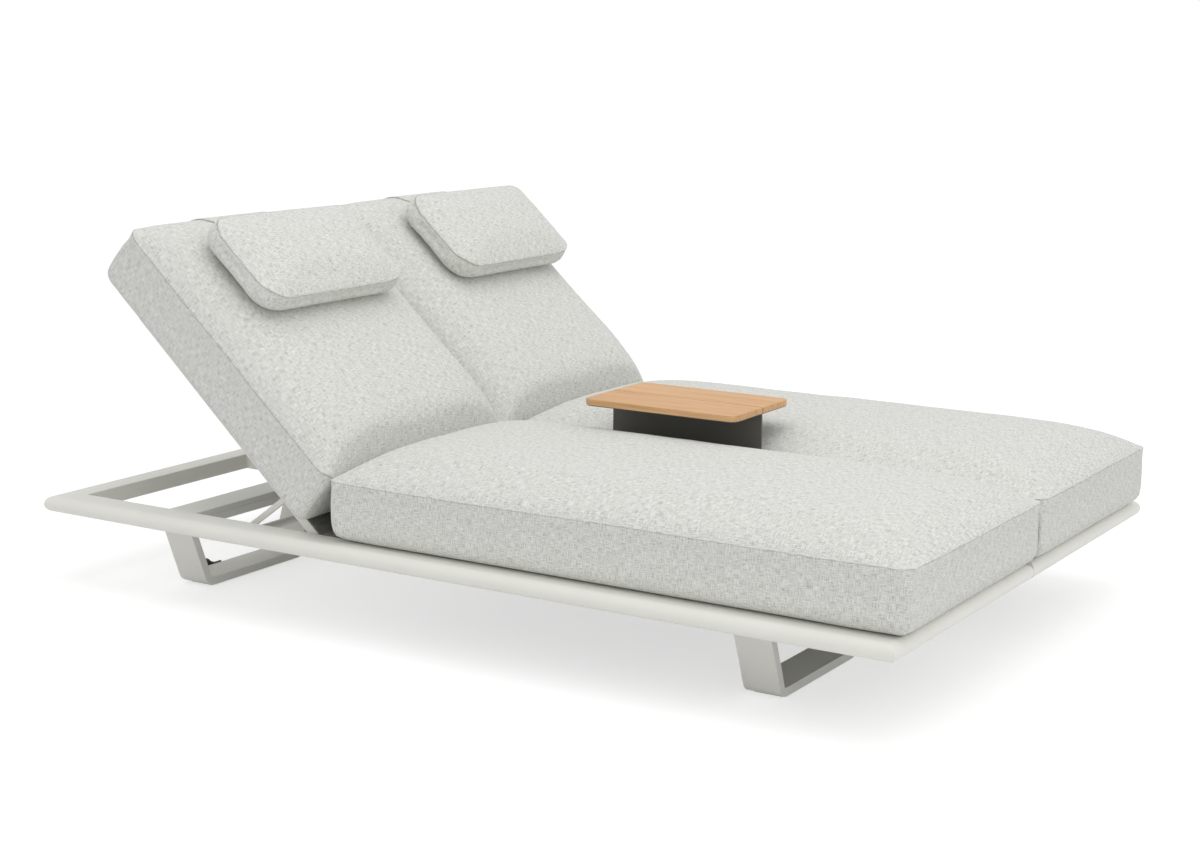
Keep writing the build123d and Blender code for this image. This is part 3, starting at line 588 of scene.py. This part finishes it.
STEP = 0.011
seat = Cushion(length=1.298, width=CUSHION_WIDTH, box=0.1255, crown=0.068,
               powers=(9.0, 7.0, 3.2), rise=0.39, corner=0.024, bottom=0.030, draw=0.001,
               step=STEP, ears=0.002)
back = Cushion(length=0.736, width=CUSHION_WIDTH, box=BACK_BOX, crown=BACK_CROWN,
               powers=(7.0, 4.5, 5.0), rise=0.35, corner=0.034, bottom=0.024, draw=0.0,
               step=STEP, lean=0.012)
pillow = Cushion(length=0.235, width=0.462, box=0.052, crown=0.026,
                 powers=(3.0, 3.0, 4.0), rise=0.42, corner=0.056, bottom=0.025, draw=-0.005,
                 step=STEP * 0.6)
seat.puff(pressure=1.2, frames=12, cap=0.003, slack=0.003)
back.puff(pressure=1.2, frames=12, cap=0.003, slack=0.003)
pillow.puff(pressure=2.0, frames=12, cap=0.005, slack=0.004)
for cushion in (seat, back, pillow):
    cushion.sew(lip=0.0003)

back_shapes = {}
for side_name, sign, seed in LOUNGERS:
    mirror = sign > 0
    cushion_y = cushion_middle(sign)
    pillow_y = sign * CENTRE_Y + sign * PILLOW_SHIFT
    finish_cushion(
        f"{side_name}_seat_cushion", "frame", seat,
        Matrix.Translation((SEAT_HEAD, cushion_y, DECK_TOP)), mirror, seed,
        wave_height=0.0022)
    back_shapes[side_name] = finish_cushion(
        f"{side_name}_back_cushion", f"{side_name}_backrest", back,
        back_matrix(BACK_START, BACK_LIFT, cushion_y), mirror, seed + 2,
        wave_height=0.0022)
    finish_cushion(
        f"{side_name}_pillow", f"{side_name}_headrest", pillow,
        back_matrix(PILLOW_START, PILLOW_LIFT, pillow_y), mirror, seed + 4,
        wave_height=0.0012)


# Straps: laid over the crown and the top end of each back cushion, in its own frame

STRAP_HALF = 0.105
STRAP_LIFT = 0.0010
STRAP_THICKNESS = 0.0018
STRAP_START = 0.530
STRAP_COLUMNS = 15
CROWN_ROWS = 10
BEND_ROWS = 26
TAIL_ROWS = 2
TAIL_STEP = 0.008
BEND_X, BEND_Z = 0.660, 0.085
RAY_START = 0.3


def strap_rays():
    """Where each row of the strap looks for the cushion, as (start, direction)."""
    rays = []
    for k in range(CROWN_ROWS):
        x = STRAP_START + (BEND_X - STRAP_START) * k / CROWN_ROWS
        rays.append((Vector((x, 0, RAY_START)), Vector((0, 0, -1))))
    for k in range(BEND_ROWS):
        angle = math.pi / 2 * (1 - k / (BEND_ROWS - 1))
        way = Vector((math.cos(angle), 0, math.sin(angle)))
        rays.append((Vector((BEND_X, 0, BEND_Z)) + way * RAY_START, -way))
    for k in range(1, TAIL_ROWS + 1):
        start = Vector((BEND_X + RAY_START, 0, BEND_Z - TAIL_STEP * k))
        rays.append((start, Vector((-1, 0, 0))))
    return rays


def make_strap(side_name, sign):
    """A thin strip of cloth that follows the back cushion under it."""
    local, cushion_faces = back_shapes[side_name]
    tree = BVHTree.FromPolygons([tuple(p) for p in local], cushion_faces)
    cushion_y = cushion_middle(sign)
    matrix = back_matrix(BACK_START, BACK_LIFT, cushion_y)
    offset = cushion_y - sign * CENTRE_Y - sign * PILLOW_SHIFT
    columns = [offset + STRAP_HALF * (2 * c / (STRAP_COLUMNS - 1) - 1)
               for c in range(STRAP_COLUMNS)]
    rays = strap_rays()
    grid = []
    for start, way in rays:
        hits = [tree.ray_cast(start + Vector((0, y, 0)), way, 2 * RAY_START)[0] for y in columns]
        grid.append([hit - way * STRAP_LIFT for hit in hits])

    rows, cols = len(grid), STRAP_COLUMNS
    size = rows * cols
    verts, faces = [], []
    for layer in (0.0, STRAP_THICKNESS):
        for r in range(rows):
            for c in range(cols):
                verts.append(matrix @ (grid[r][c] - rays[r][1] * layer))
    for r in range(rows - 1):
        for c in range(cols - 1):
            a = r * cols + c
            faces.append((a, a + cols, a + cols + 1, a + 1))
            faces.append((a + size, a + 1 + size, a + cols + 1 + size, a + cols + size))
    rim = list(range(cols)) + [r * cols + cols - 1 for r in range(1, rows)]
    rim += [(rows - 1) * cols + c for c in range(cols - 2, -1, -1)]
    rim += [r * cols for r in range(rows - 2, 0, -1)]
    for k, a in enumerate(rim):
        b = rim[(k + 1) % len(rim)]
        faces.append((a, b, b + size, a + size))

    name = f"{side_name}_pillow_strap_cloth"
    mesh = bpy.data.meshes.new(name)
    mesh.from_pydata([tuple(v) for v in verts], [], faces)
    mesh.validate()
    mesh.update()
    length = 0.0
    stations = [0.0]
    for r in range(1, rows):
        length += (grid[r][cols // 2] - grid[r - 1][cols // 2]).length
        stations.append(length)
    layer = mesh.uv_layers.new(name="weave")
    for loop_index, loop in enumerate(mesh.loops):
        index = loop.vertex_index % size
        layer.data[loop_index].uv = (stations[index // cols] + 9.0, columns[index % cols] + 9.0)
    for polygon in mesh.polygons:
        polygon.use_smooth = polygon.index < 2 * (rows - 1) * (cols - 1)
    mesh.materials.append(MATERIALS["cushion_weave"])
    obj = bpy.data.objects.new(name, mesh)
    scene.collection.objects.link(obj)
    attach(obj, f"{side_name}_backrest")
    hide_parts(f"{side_name}_pillow_strap")


for side_name, sign, _ in LOUNGERS:
    make_strap(side_name, sign)


# Floor, light and camera

FLOOR_REACH = 40.0


def shader(tree, kind, **inputs):
    """Adds a node and sets its named inputs."""
    node = tree.nodes.new(f"ShaderNode{kind}")
    for name, value in inputs.items():
        node.inputs[name].default_value = value
    return node


def grey(level):
    return (level, level, level, 1)


def choose_by(tree, switch, otherwise, chosen, output):
    """Shows one shader where the switch is 1, and the other one elsewhere."""
    mix = shader(tree, "MixShader")
    tree.links.new(switch, mix.inputs[0])
    tree.links.new(otherwise.outputs[0], mix.inputs[1])
    tree.links.new(chosen.outputs[0], mix.inputs[2])
    tree.links.new(mix.outputs[0], output.inputs[0])


def make_floor():
    """A floor that the camera and reflections see as white, with the object's shadow on it."""
    mesh = bpy.data.meshes.new("floor")
    corners = ((-1, -1), (1, -1), (1, 1), (-1, 1))
    mesh.from_pydata([(x * FLOOR_REACH, y * FLOOR_REACH, 0) for x, y in corners], [],
                     [(0, 1, 2, 3)])
    floor = bpy.data.objects.new("floor", mesh)
    scene.collection.objects.link(floor)
    material = bpy.data.materials.new("floor")
    material.use_nodes = True
    tree = material.node_tree
    tree.nodes.clear()
    lighting = shader(tree, "BsdfDiffuse", Color=grey(0.86))
    shadowed = shader(tree, "BsdfDiffuse", Color=grey(0.50))
    glow = shader(tree, "Emission", Color=WHITE, Strength=0.62)
    both = shader(tree, "AddShader")
    tree.links.new(shadowed.outputs[0], both.inputs[0])
    tree.links.new(glow.outputs[0], both.inputs[1])
    path = shader(tree, "LightPath")
    seen = shader(tree, "Math")
    seen.operation = "MAXIMUM"
    tree.links.new(path.outputs["Is Camera Ray"], seen.inputs[0])
    tree.links.new(path.outputs["Is Glossy Ray"], seen.inputs[1])
    choose_by(tree, seen.outputs[0], lighting, both, shader(tree, "OutputMaterial"))
    mesh.materials.append(material)


def make_world():
    """Even light all round, seen as white."""
    world = bpy.data.worlds.new("studio")
    scene.world = world
    world.use_nodes = True
    tree = world.node_tree
    tree.nodes.clear()
    light = shader(tree, "Background", Color=WHITE, Strength=0.80)
    shown = shader(tree, "Background", Color=WHITE, Strength=1.0)
    camera_ray = shader(tree, "LightPath").outputs["Is Camera Ray"]
    choose_by(tree, camera_ray, light, shown, shader(tree, "OutputWorld"))


def area_light(name, place, target, size, power):
    data = bpy.data.lights.new(name, "AREA")
    data.shape = "RECTANGLE"
    data.size, data.size_y = size
    data.energy = power
    obj = bpy.data.objects.new(name, data)
    obj.location = place
    obj.rotation_euler = (Vector(target) - Vector(place)).to_track_quat("-Z", "Y").to_euler()
    scene.collection.objects.link(obj)


def make_camera(place, yaw, pitch, roll, lens):
    """A camera at a place, with its angles in degrees: yaw from +Y, pitch down, then roll."""
    yaw, pitch, roll = (math.radians(angle) for angle in (yaw, pitch, roll))
    right = Vector((math.cos(yaw), math.sin(yaw), 0))
    ahead = Vector((-math.sin(yaw) * math.cos(pitch), math.cos(yaw) * math.cos(pitch),
                    -math.sin(pitch)))
    up = right.cross(ahead)
    rolled_right = right * math.cos(roll) + up * math.sin(roll)
    rolled_up = up * math.cos(roll) - right * math.sin(roll)
    matrix = Matrix((rolled_right, rolled_up, -ahead)).transposed().to_4x4()
    matrix.translation = Vector(place)
    data = bpy.data.cameras.new("camera")
    data.sensor_fit = "HORIZONTAL"
    data.sensor_width = 36.0
    data.lens = lens
    data.clip_end = 200.0
    camera = bpy.data.objects.new("camera", data)
    camera.matrix_world = matrix
    scene.collection.objects.link(camera)
    scene.camera = camera


make_floor()
make_world()
area_light("key", (0.8, -0.6, 4.4), (0.0, 0.0, 0.2), (4.5, 3.5), 62.0)
area_light("fill", (3.6, -1.6, 2.4), (0.2, 0.0, 0.2), (3.0, 2.0), 12.0)
make_camera((2.4562, -3.9093, 1.2743), yaw=31.99, pitch=11.24, roll=0.40, lens=62.997)
scene.view_settings.view_transform = "Standard"
